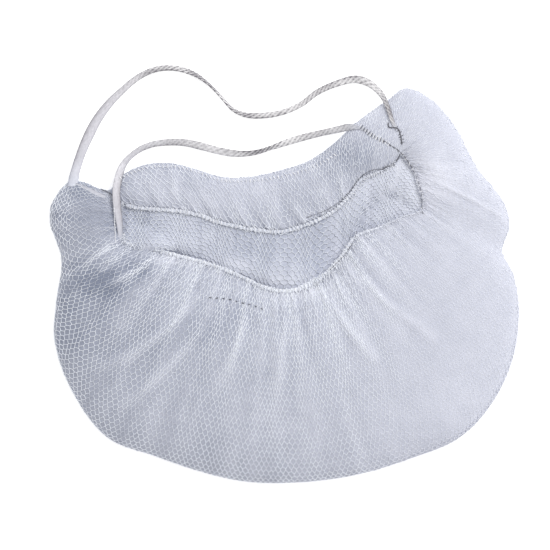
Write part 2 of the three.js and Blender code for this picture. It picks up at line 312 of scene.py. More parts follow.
class Finish:
    """A material as it is built, with its nodes and its one surface shader."""

    def __init__(self, name, roughness, sheen=0.0):
        self.material = bpy.data.materials.new(name)
        self.material.use_nodes = True
        self.tree = self.material.node_tree
        self.surface = self.tree.nodes["Principled BSDF"]
        self.surface.inputs["Roughness"].default_value = roughness
        self.surface.inputs["Sheen Weight"].default_value = sheen

    def node(self, kind, settings, inputs, output=0):
        """One output of a new node of this kind."""
        inputs = {key: given.socket if isinstance(given, Value) else given for key, given in inputs.items()}
        return Value(self, add_node(self.tree, kind, settings, inputs).outputs[output])

    def kept(self, name):
        """A number stored on the piece's points."""
        return self.node("ShaderNodeAttribute", {"attribute_name": name}, {}, output="Fac")

    def noise(self, size, detail=2.0):
        """Soft unevenness of about that size in metres, near 0.5."""
        place = self.node("ShaderNodeTexCoord", {}, {}, output="Object")
        return self.noise_at(place, 1 / size, detail)

    def noise_at(self, place, scale, detail):
        """Soft unevenness over any coordinates, near 0.5."""
        return self.node("ShaderNodeTexNoise", {}, {"Vector": place, "Scale": scale, "Detail": detail})

    def colours(self, share, first, second):
        """A blend of two colours, all of the second where the share is 1."""
        first, second = ((*each, 1.0) if isinstance(each, tuple) else each for each in (first, second))
        inputs = {"Factor": share, 6: first, 7: second}
        return self.node("ShaderNodeMix", {"data_type": "RGBA"}, inputs, output=2)

    def put(self, socket, value):
        """Feeds a value to one of the surface's own sockets."""
        self.tree.links.new(value.socket, self.surface.inputs[socket])

    def relief(self, height, depth):
        """Fine relief that is too small to model, this deep in metres."""
        self.put("Normal", self.node("ShaderNodeBump", {}, {"Height": height, "Distance": depth}))


BRAIDED_WHITE = (0.77, 0.76, 0.77)
SMOOTH_WHITE = (0.68, 0.67, 0.73)
ELASTIC_SHADE = (0.15, 0.14, 0.16)
NET_OVER_WHITE = (0.62, 0.64, 0.72)
NET_OVER_SHADE = (0.38, 0.40, 0.48)

# The braid's strands are light, with painted shade in the pits between them and along its
# edges. Where the braid lies smooth, only fine strands show, with painted shade along its
# outer side.
elastic = Finish("white_elastic", roughness=0.7, sheen=0.2)
fuzz = elastic.noise(0.9 * MM)
weave = elastic.node(
    "ShaderNodeCombineXYZ", {}, {"X": elastic.kept("run"), "Y": elastic.kept("aside") * 2.4}
)
strands = elastic.noise_at(weave, 1.3, 4.0)
patches = elastic.noise_at(weave, 0.14, 1.0)
painted_outer_shade = (0.5 - elastic.kept("aside") * 0.5) ** 3.0
braided = elastic.kept("painted_pit_shade") + (strands - 0.5) * 1.3 + (patches - 0.5) * 1.6 + (fuzz - 0.5) * 0.5
smooth = painted_outer_shade * 0.5 + (strands - 0.5) * 0.5 + (fuzz - 0.5) * 0.3
plain = elastic.kept("plain")
shade = (braided * (1.0 - plain) + smooth * plain + elastic.kept("edge") * 0.45 + 0.12).held()
bare = elastic.colours(shade, elastic.colours(plain, BRAIDED_WHITE, SMOOTH_WHITE), ELASTIC_SHADE)
under_net = elastic.colours(shade, NET_OVER_WHITE, NET_OVER_SHADE)
elastic.put("Base Color", elastic.colours(elastic.kept("covered"), bare, under_net))
elastic.relief(elastic.noise(0.35 * MM), 0.12 * MM)

loops = {}
for name, route, lay, length in (
    ("far_ear_loop", FAR_LOOP_ROUTE, FAR_LOOP_LAY, FAR_LOOP_LENGTH),
    ("near_ear_loop", NEAR_LOOP_ROUTE, NEAR_LOOP_LAY, NEAR_LOOP_LENGTH),
):
    loop, centre = elastic_ribbon(name + "_braid", smooth_route(route, RIBBON_STEP / MM) * MM, lay)
    loop.data.materials.append(elastic.material)
    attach(loop, "root")
    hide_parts(name)
    centre[::10].tolist() + [centre[-1].tolist()]
    loops[name] = loop


# The net pouch. One piece of knitted nylon net, gathered along the mouth's two rims, lies
# folded flat: its lower wall on the table, its upper wall rising from the fold to a low
# crown. This is its soft body, the crossing layers that fill the cells with a grey haze.
HALF_WIDTH = 140.5 * MM
HALF_DEPTH = 118.0 * MM
LOFT = 27.0 * MM
FOLD_RADIUS = 3.0 * MM
GATHER_HEIGHT = 1.5 * MM
GATHER_FADE = 1.3
CROWN_SHARE = 0.42
FALL_POWER = 2.4
CLOTH_THICKNESS = 0.25 * MM
CLOTH_COLUMNS = 780
CLOTH_RINGS = 34
FOLD_RINGS = 4
RING_CROWDING = 0.85
FLOOR_GRID = 3.5 * MM
CREASE_BRIGHTNESS = 1.8
STREAKS_EACH_ROW = 2.2
STREAKS_ALONG = 1.6
STREAK_WIDTH = 3.0 * MM
STREAK_LENGTH = 30 * MM

# One row for each section from the mouth's rim out to the fold, going round the mouth
# from its left end past the near side. rim_x to fold_y are shares of half the pouch's
# width and depth, rim and crown heights as shares of the loft, gather the share of the
# full gather height, cell the width of the net's cells near the fold, in mm, and leg the
# share of their full length that the cells' straight legs have.
SECTION_COLUMNS = ("rim_x", "rim_y", "fold_x", "fold_y", "rim", "crown", "gather", "cell", "leg")
SECTIONS = np.array((
    (-0.70, 0.32, -1.00, 0.32, 0.42, 0.62, 0.7, 3.4, 0.85),
    (-0.69, 0.24, -0.95, 0.13, 0.46, 0.66, 0.8, 3.6, 0.95),
    (-0.67, 0.20, -0.97, -0.06, 0.50, 0.78, 1.0, 3.6, 1.0),
    (-0.58, 0.18, -0.98, -0.28, 0.52, 0.88, 1.0, 3.6, 1.0),
    (-0.49, 0.15, -0.91, -0.53, 0.54, 0.95, 1.0, 3.2, 1.0),
    (-0.39, 0.12, -0.76, -0.77, 0.55, 1.00, 1.0, 3.0, 1.0),
    (-0.28, 0.08, -0.55, -0.87, 0.56, 1.00, 1.0, 2.8, 1.0),
    (-0.18, 0.03, -0.35, -0.95, 0.57, 1.00, 1.0, 2.7, 1.0),
    (-0.09, -0.02, -0.15, -1.00, 0.58, 1.00, 1.0, 2.7, 1.0),
    (0.01, -0.04, 0.09, -1.00, 0.58, 1.00, 1.0, 2.7, 1.0),
    (0.11, -0.01, 0.32, -0.96, 0.58, 1.00, 0.9, 2.7, 1.0),
    (0.19, 0.06, 0.54, -0.88, 0.57, 0.99, 0.9, 2.6, 1.0),
    (0.25, 0.14, 0.74, -0.78, 0.56, 0.97, 0.8, 2.5, 1.0),
    (0.31, 0.24, 0.88, -0.61, 0.55, 0.93, 0.4, 2.2, 1.3),
    (0.41, 0.29, 0.97, -0.39, 0.54, 0.88, 0.4, 2.2, 1.3),
    (0.50, 0.34, 1.00, -0.16, 0.53, 0.82, 0.4, 2.2, 1.3),
    (0.57, 0.37, 0.98, 0.04, 0.52, 0.76, 0.4, 2.2, 1.3),
    (0.59, 0.42, 0.93, 0.17, 0.50, 0.70, 0.4, 2.2, 1.3),
    (0.57, 0.49, 0.96, 0.30, 0.48, 0.72, 0.3, 1.9, 1.4),
    (0.55, 0.57, 0.93, 0.43, 0.46, 0.72, 0.3, 1.9, 1.4),
    (0.52, 0.62, 0.82, 0.60, 0.45, 0.70, 0.3, 1.9, 1.4),
    (0.50, 0.66, 0.73, 0.80, 0.44, 0.66, 0.3, 1.9, 1.4),
    (0.49, 0.66, 0.63, 0.94, 0.43, 0.58, 0.3, 1.9, 1.4),
    (0.46, 0.62, 0.52, 1.00, 0.42, 0.54, 0.3, 1.9, 1.4),
    (0.40, 0.58, 0.44, 0.94, 0.42, 0.54, 0.3, 1.9, 1.4),
    (0.32, 0.54, 0.31, 0.83, 0.42, 0.52, 0.6, 2.4, 1.0),
    (0.27, 0.46, 0.21, 0.72, 0.42, 0.50, 0.8, 2.4, 1.0),
    (0.20, 0.38, 0.10, 0.63, 0.42, 0.50, 0.9, 2.4, 1.0),
    (0.10, 0.32, -0.03, 0.58, 0.42, 0.50, 1.0, 2.4, 1.0),
    (-0.02, 0.28, -0.15, 0.55, 0.42, 0.50, 1.0, 2.4, 1.0),
    (-0.15, 0.295, -0.27, 0.55, 0.42, 0.50, 1.0, 2.4, 1.0),
    (-0.27, 0.325, -0.38, 0.59, 0.42, 0.50, 1.0, 2.4, 1.0),
    (-0.38, 0.37, -0.49, 0.62, 0.42, 0.50, 0.9, 2.4, 1.0),
    (-0.50, 0.39, -0.60, 0.61, 0.42, 0.50, 0.8, 2.6, 1.0),
    (-0.62, 0.40, -0.69, 0.56, 0.41, 0.48, 0.6, 2.8, 1.0),
    (-0.68, 0.42, -0.72, 0.52, 0.40, 0.42, 0.3, 3.2, 1.0),
    (-0.70, 0.42, -0.76, 0.48, 0.40, 0.42, 0.2, 2.8, 0.8),
    (-0.70, 0.40, -0.90, 0.53, 0.40, 0.46, 0.4, 2.8, 0.7),
    (-0.70, 0.37, -0.98, 0.44, 0.40, 0.56, 0.6, 3.0, 0.75),
))
ROWS = len(SECTIONS)

# The small gathers between the sections: how many go round the mouth, their share of the
# height, the turn of the first, how they slant on their way out and how far they reach.
GATHERS = (
    (39, 0.50, 0.0, 0.0, 0.85),
    (62, 0.35, 1.9, 1.6, 0.75),
    (101, 0.40, 0.6, -1.8, 0.55),
    (163, 0.35, 2.4, 1.1, 0.32),
)

# Single creases that run slantwise down the upper wall: the row and the share of the way
# to the fold where each starts and ends, its width in rows and its height.
CREASES = (
    ("beside the near rim's left end", (3.6, 0.02), (2.7, 0.55), 0.16, 1.6 * MM),
    ("long one down to the left", (5.7, 0.15), (4.3, 0.75), 0.13, 1.6 * MM),
    ("next below it", (6.1, 0.30), (5.0, 0.85), 0.13, 1.3 * MM),
    ("left of the middle", (7.6, 0.08), (6.9, 0.60), 0.16, 1.2 * MM),
    ("middle", (8.9, 0.05), (8.5, 0.55), 0.15, 1.0 * MM),
    ("right of the middle", (10.4, 0.02), (11.2, 0.50), 0.16, 1.2 * MM),
    ("down to the right", (12.1, 0.10), (12.9, 0.60), 0.15, 1.0 * MM),
    ("left lobe", (1.2, 0.10), (1.6, 0.60), 0.20, 1.6 * MM),
    ("far wall, left", (32.6, 0.10), (32.0, 0.90), 0.16, 0.9 * MM),
    ("far wall, middle", (29.0, 0.05), (28.3, 0.90), 0.16, 0.8 * MM),
    ("right lobe", (18.8, 0.20), (18.2, 0.95), 0.16, 0.8 * MM),
)
CREASE_TAPER = 1.9
CREASE_PULL = 0.45
CREASE_DRAW = 3


def section_value(column, row):
    """A smooth closed curve through one column of the section table, read at any row."""
    values = SECTIONS[:, SECTION_COLUMNS.index(column)]
    base = np.floor(row).astype(int)
    share = row - base
    before, start, end, after = (values[(base + step) % ROWS] for step in (-1, 0, 1, 2))
    slope, next_slope, rise = (end - before) / 2, (after - start) / 2, end - start
    square = 3 * rise - 2 * slope - next_slope
    cube = slope + next_slope - 2 * rise
    return start + share * (slope + share * (square + share * cube))


def edge_place(edge, row):
    """Places along the pouch's rim or fold, seen from above."""
    x = section_value(edge + "_x", row) * HALF_WIDTH
    y = section_value(edge + "_y", row) * HALF_DEPTH
    return np.stack([x, y], axis=-1)


def gather_wave(row, share):
    """The gathers' rise and fall at places on the upper wall, from about -1 to 1."""
    wave = 0
    for count, height, turn, slant, reach in GATHERS:
        fade = np.clip(1 - share / reach, 0, 1) ** GATHER_FADE
        wave = wave + height * fade * np.cos(2 * np.pi * count / ROWS * row + turn + slant * share)
    return wave


def crease_lines(row, share):
    """For each crease, how far a place is from it in its own widths and how full it is there."""
    for _, (start_row, start_share), (end_row, end_share), width, height in CREASES:
        done = (share - start_share) / (end_share - start_share)
        aside = (row - start_row - (end_row - start_row) * done) / width
        full = np.clip(1 - np.abs(done - 0.5) * CREASE_TAPER, 0, 1) ** 0.5
        yield aside, full, width, height


def crease_height(row, share):
    """How high the creases stand, in metres."""
    return sum(height * full * np.exp(-aside ** 2) for aside, full, _, height in crease_lines(row, share))


def crease_pull(row, share):
    """How far the creases draw the net in towards them, in rows."""
    return CREASE_PULL * sum(
        width * full * aside * np.exp(-aside ** 2 / CREASE_DRAW)
        for aside, full, width, _ in crease_lines(row, share)
    )


def upper_wall(row, share):
    """Points on the pouch: share 0 at the rim, 1 at the fold, 2 where it meets the table."""
    rim = edge_place("rim", row)
    reach = edge_place("fold", row) - rim
    length = np.linalg.norm(reach, axis=-1)
    outward = reach / length[..., None]
    top = np.clip(share, 0, 1)
    under = np.clip(share - 1, 0, 1) * np.pi / 2
    crown = section_value("crown", row) * LOFT
    rim_top = section_value("rim", row) * LOFT
    fall = FOLD_RADIUS + (crown - FOLD_RADIUS) * np.sqrt(np.clip(1 - top ** FALL_POWER, 0, 1))
    sink = (crown - rim_top) * np.clip(1 - top / CROWN_SHARE, 0, 1) ** 2
    gather = section_value("gather", row) * GATHER_HEIGHT / 2 * gather_wave(row, top)
    gather = gather + crease_height(row, top)
    height = fall - sink + gather - FOLD_RADIUS * np.sin(under)
    away = length * top - FOLD_RADIUS * (1 - np.cos(under))
    place = rim + outward * away[..., None]
    return np.concatenate([place, height[..., None]], axis=-1)


def spots_at(x, y, spots):
    """The sum of soft round spots at places on the pouch."""
    total = 0
    for _, spot_x, spot_y, spread_x, spread_y, change in spots:
        away = ((x / MM - spot_x) / spread_x) ** 2 + ((y / MM - spot_y) / spread_y) ** 2
        total = total + change * np.exp(-away)
    return total


# The cloth's tone is painted light and shade: it lightens from left to right, towards the
# lamp, and most spots paint shade into valleys, folds and under the flap, or light onto lit
# folds. Each spot has its place and spread in mm, and how far it lightens the cloth.
LEFT_TONE = 0.36
PAINTED_LIGHT_RISE = 0.46
PAINTED_LIGHT_RISE_BEND = 0.9
LIGHT_AND_SHADE_SPOTS = (
    ("left edge", -128, -16, 14, 25, -0.15),
    ("valley beside the near rim's left end", -106, 0, 12, 9, -0.50),
    ("second valley", -104, -24, 9, 20, -0.16),
    ("under the flap", -86, 10, 10, 8, -0.38),
    ("open cells left of the long crease", -98, -24, 8, 10, 0.20),
    ("left lobe", -114, 42, 14, 12, -0.08),
    ("left of the mouth", -93, 36, 9, 9, -0.25),
    ("gathers left of the middle", -58, 36, 30, 16, 0.14),
    ("band along the near rim, left", -62, 16, 18, 4, 0.30),
    ("upper wall beside the far fold", -30, 56, 40, 12, 0.11),
    ("far wall's left end", -80, 57, 16, 10, 0.20),
    ("left part of the far wall", -60, 50, 20, 10, 0.10),
    ("far wall's right end", 40, 76, 18, 13, -0.37),
    ("far wall, right of the middle", 10, 52, 14, 10, -0.16),
    ("gathered bunch at the near rim", 9, -3, 14, 5, 0.42),
    ("middle of the mouth", 10, 22, 12, 10, -0.26),
    ("left part of the mouth", -40, 24, 12, 8, 0.12),
    ("right part of the mouth", 28, 22, 8, 8, 0.10),
    ("beyond the mouth's right end", 86, 62, 14, 15, 0.30),
    ("middle of the near side", -20, -60, 50, 40, -0.04),
    ("far wall, left of the middle", -62, 56, 18, 8, -0.10),
    ("near edge at the left", -80, -72, 26, 18, 0.07),
    ("left of the long ridge", -80, -32, 16, 12, -0.14),
    ("right of the long ridge", -50, -28, 12, 10, -0.10),
    ("gathers right of the left end", -20, -20, 24, 12, -0.14),
    ("mouth side of the left lobe's edge", -122, 59, 9, 6, -0.26),
    ("valley at the left edge", -118, 8, 9, 8, -0.14),
    ("near edge at the right", 100, -70, 22, 16, 0.08),
    ("left lobe's near edge", -130, 22, 8, 8, 0.08),
    ("near edge in the middle", -12, -80, 40, 20, 0.08),
    ("beside the mouth's right end", 70, 33, 10, 8, -0.07),
)

# The same for the lower wall, where it shows in the mouth; beneath the near rim the spots
# paint in light that takes back the shade the rim casts there.
LOWER_LIGHT_AND_SHADE_SPOTS = (
    ("all but the left end of the mouth", 10, 24, 70, 40, -0.30),
    ("right end of the mouth", 58, 50, 20, 16, -0.06),
    ("left end of the mouth", -88, 36, 14, 14, -0.18),
    ("beneath the near rim's left end", -72, 23, 18, 6, 0.10),
    ("beneath the near rim, left", -29, 12, 14, 5, 0.28),
    ("beneath the near rim, middle", 0, 1, 20, 6, 0.28),
    ("beneath the near rim, right", 34, 18, 8, 8, 0.16),
    ("left of the middle", -44, 27, 13, 8, 0.08),
    ("shaded fold left of the middle", -26, 22, 5, 18, -0.10),
    ("shaded fold beside it", -14, 15, 7, 9, -0.14),
    ("shaded fold in the middle", 20, 20, 6, 18, -0.12),
    ("lit fold right of the middle", 32, 24, 6, 14, 0.14),
)

# The cells stand out plainly from the haze at the left and are lost in it at the right,
# from and over these distances in mm, and in these spots more or less than round them.
PLAIN_LOSS = 0.90
PLAIN_UP_TO = 20
PLAIN_FADE = 75
PLAINEST = 1.3
PLAIN_SPOTS = (
    ("far wall", -30, 58, 66, 15, -0.66),
    ("top of the left lobe", -111, 43, 19, 15, -0.90),
    ("edge of the left lobe", -134, 34, 8, 18, 0.45),
    ("left of the mouth", -90, 30, 14, 12, -0.30),
    ("valley beside the near rim's left end", -106, 0, 12, 8, -0.60),
    ("open cells left of the long crease", -98, -22, 12, 16, 0.30),
    ("far wall's right end", 40, 74, 24, 16, -0.20),
    ("gathered bunch at the near rim", 9, -5, 16, 4, 0.55),
    ("band along the near rim, left", -60, 14, 22, 6, 0.40),
)


def tone_at(x, y, spots):
    """How light the cloth is painted, its painted light and shade included, from 0 to 1."""
    across = np.clip((x + HALF_WIDTH) / (2 * HALF_WIDTH), 0, 1)
    return LEFT_TONE + PAINTED_LIGHT_RISE * across ** PAINTED_LIGHT_RISE_BEND + spots_at(x, y, spots)


def plain_at(x, y, spots):
    """How plainly the net's cells show, from 0 to about 1."""
    right = np.clip((x / MM - PLAIN_UP_TO) / PLAIN_FADE, 0, 1)
    plain = 1.0 - PLAIN_LOSS * right * right * (3 - 2 * right)
    return np.clip(plain + spots_at(x, y, spots), 0, PLAINEST)


# How the lower wall rises inside the mouth: it hangs from the rim all round except along
# the near side, as far below it as these rows and depths in mm say, and falls away from
# it over these distances, with a few soft swells in mm.
HANGING = ((14.3, 8.0), (16.0, 3.0), (18.5, 1.4), (40.6, 1.4), (41.6, 3.0))
FALL_TO_MOUTH = 24 * MM
FALL_TO_FOLD = 11 * MM
SWELLS = (
    ("middle of the mouth", 6, 1, 34, 17, 10.6),
    ("left of the middle", -32, 9, 24, 13, 8.0),
    ("left part of the mouth", -68, 22, 22, 12, 8.0),
)
HANGING_SAMPLES = 160
hanging_rows = np.linspace(HANGING[0][0], HANGING[-1][0], HANGING_SAMPLES)
hanging_rim = edge_place("rim", hanging_rows % ROWS)
hanging_heights = section_value("rim", hanging_rows % ROWS) * LOFT
hanging_heights -= np.interp(hanging_rows, *zip(*HANGING)) * MM
hanging_out = np.gradient(hanging_rim, axis=0)[:, ::-1] * (1, -1)


def lower_height(x, y):
    """How high the lower wall lies at these places, in metres."""
    x, y = np.asarray(x, float), np.asarray(y, float)
    away = np.stack([x.ravel(), y.ravel()], axis=-1)[:, None, :] - hanging_rim
    distance = np.linalg.norm(away, axis=-1)
    nearest = distance.argmin(axis=1)
    each = np.arange(len(nearest))
    beyond = (away[each, nearest] * hanging_out[nearest]).sum(axis=1) > 0
    fall = np.where(beyond, FALL_TO_FOLD, FALL_TO_MOUTH)
    hung = (hanging_heights[nearest] - floor_height) * np.exp(-(distance[each, nearest] / fall) ** 2)
    height = floor_height + hung.reshape(x.shape)
    return height + spots_at(x, y, SWELLS) * MM


cloth_rows = np.arange(CLOTH_COLUMNS) * ROWS / CLOTH_COLUMNS
top_shares = np.linspace(0, 1, CLOTH_RINGS) ** RING_CROWDING
ring_shares = np.concatenate([top_shares, 1 + np.arange(1, FOLD_RINGS + 1) / FOLD_RINGS])
row_grid, share_grid = np.meshgrid(cloth_rows, ring_shares)
wall = upper_wall(row_grid, share_grid)
wall[..., 2] += CLOTH_THICKNESS
outline = [Vector(point[:2]) for point in wall[-1]]
floor_height = wall[-1, :, 2].mean()

edge_lines = [(index, (index + 1) % len(outline)) for index in range(len(outline))]
inside = [
    Vector((x, y))
    for x in np.arange(-HALF_WIDTH, HALF_WIDTH, FLOOR_GRID)
    for y in np.arange(-HALF_DEPTH, HALF_DEPTH, FLOOR_GRID)
]

# The lower wall is filled with triangles, of which type 1 keeps those within the outline.
WITHIN_OUTLINE = 1
CLOSEST_POINTS = 1e-6
flat = geometry.delaunay_2d_cdt(outline + inside, edge_lines, [], WITHIN_OUTLINE, CLOSEST_POINTS)
flat_places, flat_faces, flat_origin = flat[0], flat[2], flat[3]
flat_heights = lower_height([place.x for place in flat_places], [place.y for place in flat_places])
columns = CLOTH_COLUMNS
rings = len(ring_shares)
points = wall.reshape(-1, 3).tolist()
number = {}
for index, (place, origin) in enumerate(zip(flat_places, flat_origin)):
    kept = [one for one in origin if one < columns]
    if kept:
        number[index] = (rings - 1) * columns + kept[0]
    else:
        number[index] = len(points)
        points.append((place.x, place.y, flat_heights[index]))
faces = []
for ring in range(rings - 1):
    for column in range(columns):
        here, beside = ring * columns + column, ring * columns + (column + 1) % columns
        faces.append((here, here + columns, beside + columns, beside))
for face in flat_faces:
    faces.append(tuple(number[corner] for corner in reversed(face)))
pouch = piece_from("net_pouch_cloth", points, faces)

x, y, _ = np.array(points).T
on_upper = np.arange(len(points)) < rings * columns
# The ridge number is kept for the materials to paint light on the gathers' and creases' ridges and shade in
# their valleys.
ridge = np.zeros(len(points))
waves = gather_wave(row_grid, np.clip(share_grid, 0, 1))
ridge[on_upper] = (waves + crease_height(row_grid, share_grid) / MM * CREASE_BRIGHTNESS).ravel()
store(pouch, "upper", on_upper)
store(pouch, "ridge", ridge)
# The cloth's tone, with its painted light and shade.
store(pouch, "tone", np.where(on_upper, tone_at(x, y, LIGHT_AND_SHADE_SPOTS), tone_at(x, y, LOWER_LIGHT_AND_SHADE_SPOTS)))
store(pouch, "plain", plain_at(x, y, ()))
streak_map = pouch.data.uv_layers.new(name="streaks")
across_streaks = x / STREAK_WIDTH
along_streaks = y / STREAK_LENGTH
across_streaks[on_upper] = (row_grid * STREAKS_EACH_ROW).ravel()
along_streaks[on_upper] = (share_grid * STREAKS_ALONG).ravel()
corners = np.empty(len(pouch.data.loops), np.int32)
pouch.data.loops.foreach_get("vertex_index", corners)
streaks_at = np.stack([across_streaks[corners], along_streaks[corners]], axis=1)
streak_map.data.foreach_set("uv", streaks_at.ravel())
shade_smooth(pouch)
wall_thickness = pouch.modifiers.new("thickness", "SOLIDIFY")
wall_thickness.thickness = CLOTH_THICKNESS
wall_thickness.offset = -1.0
wall_thickness.material_offset = 1  # its inner side has the second material

HAZE_DARK = (0.26, 0.29, 0.38)
HAZE_LIGHT = (0.85, 0.86, 0.94)
SEEN_THROUGH = 0.34
UPPER_SHADE = 0.115


def haze_finish(name):
    """The soft grey-blue haze of the net's crossing layers, and its colour."""
    haze = Finish(name, roughness=0.8, sheen=0.1)
    patchy = haze.noise(9 * MM, detail=3.0)
    fine = haze.noise(1.1 * MM)
    streaks = haze.noise_at(haze.node("ShaderNodeUVMap", {}, {}), 1.0, 3.0)
    streaked = (streaks - 0.5) * (haze.kept("plain") * 0.37 + 0.08)
    # The tone's painted light and shade, with painted light on the ridges and shade in the valleys.
    tone = haze.kept("tone") - haze.kept("upper") * UPPER_SHADE + haze.kept("ridge") * 0.10 + streaked
    tone = (tone + (patchy - 0.5) * 0.25 + (fine - 0.5) * 0.15).held()
    colour = haze.colours(tone, HAZE_DARK, HAZE_LIGHT)
    haze.put("Base Color", colour)
    haze.put("Alpha", 1.0 - haze.kept("upper") * SEEN_THROUGH)
    haze.relief(fine, 0.3 * MM)
    return haze, colour


# The upper wall's inner side has a faint painted glow, emission that stands in for the
# light that comes through the net.
PAINTED_GLOW_STRENGTH = 0.30
NO_GLOW = (0.0, 0.0, 0.0)
haze, _ = haze_finish("net_haze")
painted_glow_haze, colour = haze_finish("net_haze_inside_painted_glow")
painted_glow_haze.put("Emission Color", painted_glow_haze.colours(painted_glow_haze.kept("upper"), NO_GLOW, colour))
painted_glow_haze.surface.inputs["Emission Strength"].default_value = PAINTED_GLOW_STRENGTH
pouch.data.materials.append(haze.material)
pouch.data.materials.append(painted_glow_haze.material)
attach(pouch, "root")
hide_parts("net_pouch")


# The rolled hems. Each rim of the net is turned over its elastic and overlocked, which
# draws it up into a narrow gathered roll on the mouth's side of the rim. A crease lies
# along it where the net turns under, and a painted shadow darkens it where two layers part.
HEM_WIDTH = 2.2 * MM
HEM_HEIGHT = 0.75 * MM
HEM_RUFFLE = 0.16 * MM
HEM_RUFFLE_PITCH = 2.3 * MM
HEM_STEP = 0.4 * MM
HEM_SIDES = 20
HEM_POINTS_EACH_ROW = 4
HEM_END_STATIONS = 8
HEM_END_SIZE = 0.3
HEM_SHADOW_SPREAD = 22
HEM_SHADOW_STARTS_OVER = 0.6
HEM_SHADOW_ENDS_OVER = 1.4
HEM_DARK = (0.28, 0.31, 0.40)
HEM_LIGHT = (0.86, 0.88, 0.95)
HEM_PAINTED_SHADOW = (0.05, 0.05, 0.07)

# How the ruffles wander along a hem and lean round it, in radians.
HEM_WANDERS = ((0.9, 6.1 * MM, 0), (1.1, 2.7 * MM, 1))
HEM_RUFFLE_LEAN = 0.9

# A hem's share of its full size at rows round the mouth: bunched up in the middle of the
# near rim, and thin where the rims run together at the right end of the mouth.
HEM_SLIMS = (
    (0, 0.9), (9.3, 1.0), (9.9, 1.5), (10.5, 1.4), (11.0, 1.0), (12.5, 1.0), (14.5, 0.40),
    (16, 0.22), (22.0, 0.22), (24.5, 0.8), (26, 1.0), (34, 1.0), (39, 0.7),
)

# The rows each hem runs between, the rows its crease's painted shadow runs between, and
# that shadow's place round the roll, in degrees from its mouth side over the top.
HEMS = {
    "near_rim_elastic": ((0.5, 19.4), (12.9, 15.6), 12),
    "far_rim_elastic": ((23.2, 35.3), (22.0, 28.6), 158),
}


def hem_frame(row):
    """The centre of the hem beside the rim, and the level way from it into the mouth."""
    along = edge_place("rim", (row + 0.25) % ROWS) - edge_place("rim", (row - 0.25) % ROWS)
    along /= np.linalg.norm(along, axis=-1, keepdims=True)
    inward = np.stack([-along[..., 1], along[..., 0]], axis=-1)
    height = section_value("rim", row % ROWS) * LOFT
    centre = edge_place("rim", row % ROWS) + inward * HEM_WIDTH / 2
    return np.concatenate([centre, height[..., None]], axis=-1), inward


def ruffled_roll(name, rows, shadow_rows, shadow_place):
    """A roll of gathered net along the rim between two rows, closed at both ends."""
    route_rows = np.linspace(*rows, round((rows[1] - rows[0]) * HEM_POINTS_EACH_ROW) + 1)
    route, _ = hem_frame(route_rows)
    path = smooth_route(route, HEM_STEP)
    _, across, up = level_frame(path)
    stations = len(path)
    along = np.arange(stations) * np.linalg.norm(path[1] - path[0])
    route_along = np.concatenate([[0], np.cumsum(np.linalg.norm(np.diff(route, axis=0), axis=1))])
    row_here = np.interp(along, route_along, route_rows)
    angle = np.arange(HEM_SIDES) * 2 * np.pi / HEM_SIDES
    wander = sum(size * np.sin(along / length + turn) for size, length, turn in HEM_WANDERS)
    turns = (2 * np.pi * along / HEM_RUFFLE_PITCH + wander)[:, None]
    ripple = np.cos(turns + HEM_RUFFLE_LEAN * np.sin(angle))
    from_end = np.minimum(np.arange(stations), np.arange(stations)[::-1])
    taper = np.clip(from_end / HEM_END_STATIONS, HEM_END_SIZE, 1)
    taper = (taper * np.interp(row_here, *zip(*HEM_SLIMS)))[:, None]
    half_width = (HEM_WIDTH / 2 + HEM_RUFFLE * ripple) * taper
    half_height = (HEM_HEIGHT / 2 + HEM_RUFFLE * ripple) * taper
    path = path - across * (1 - taper) * HEM_WIDTH / 2
    points = (
        path[:, None, :]
        + across[:, None, :] * (half_width * np.cos(angle))[:, :, None]
        + up[:, None, :] * (half_height * np.sin(angle))[:, :, None]
    )
    roll = piece_from(name, points.reshape(-1, 3), tube_faces(stations, HEM_SIDES))
    # The painted shadow along the crease.
    started = np.clip((row_here - shadow_rows[0]) / HEM_SHADOW_STARTS_OVER, 0, 1)
    to_come = np.clip((shadow_rows[1] - row_here) / HEM_SHADOW_ENDS_OVER, 0, 1)
    beside = np.exp(-((np.degrees(angle) - shadow_place) / HEM_SHADOW_SPREAD) ** 2)
    tone = tone_at(path[:, 0], path[:, 1], LIGHT_AND_SHADE_SPOTS)
    store(roll, "ridge", ripple)
    store(roll, "crease", (started * to_come)[:, None] * beside)
    store(roll, "tone", np.broadcast_to(tone[:, None], ripple.shape))
    shade_smooth(roll)
    return roll


hem = Finish("gathered_hem", roughness=0.75, sheen=0.1)
# The ruffles' crests are painted lighter, and the tone brings the cloth's painted light and shade.
rise = hem.kept("ridge") * 0.12 + hem.kept("tone") * 0.92 + (hem.noise(0.9 * MM) - 0.5) * 0.7
net_colour = hem.colours(rise.held(), HEM_DARK, HEM_LIGHT)
# Painted shadow along the crease.
hem.put("Base Color", hem.colours(hem.kept("crease").held(), net_colour, HEM_PAINTED_SHADOW))
hem.relief(hem.noise(0.4 * MM), 0.15 * MM)

hems = []
for node, hem_lay in HEMS.items():
    roll = ruffled_roll(node + "_hem", *hem_lay)
    roll.data.materials.append(hem.material)
    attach(roll, "root")
    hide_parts(node)
    hems.append(roll)


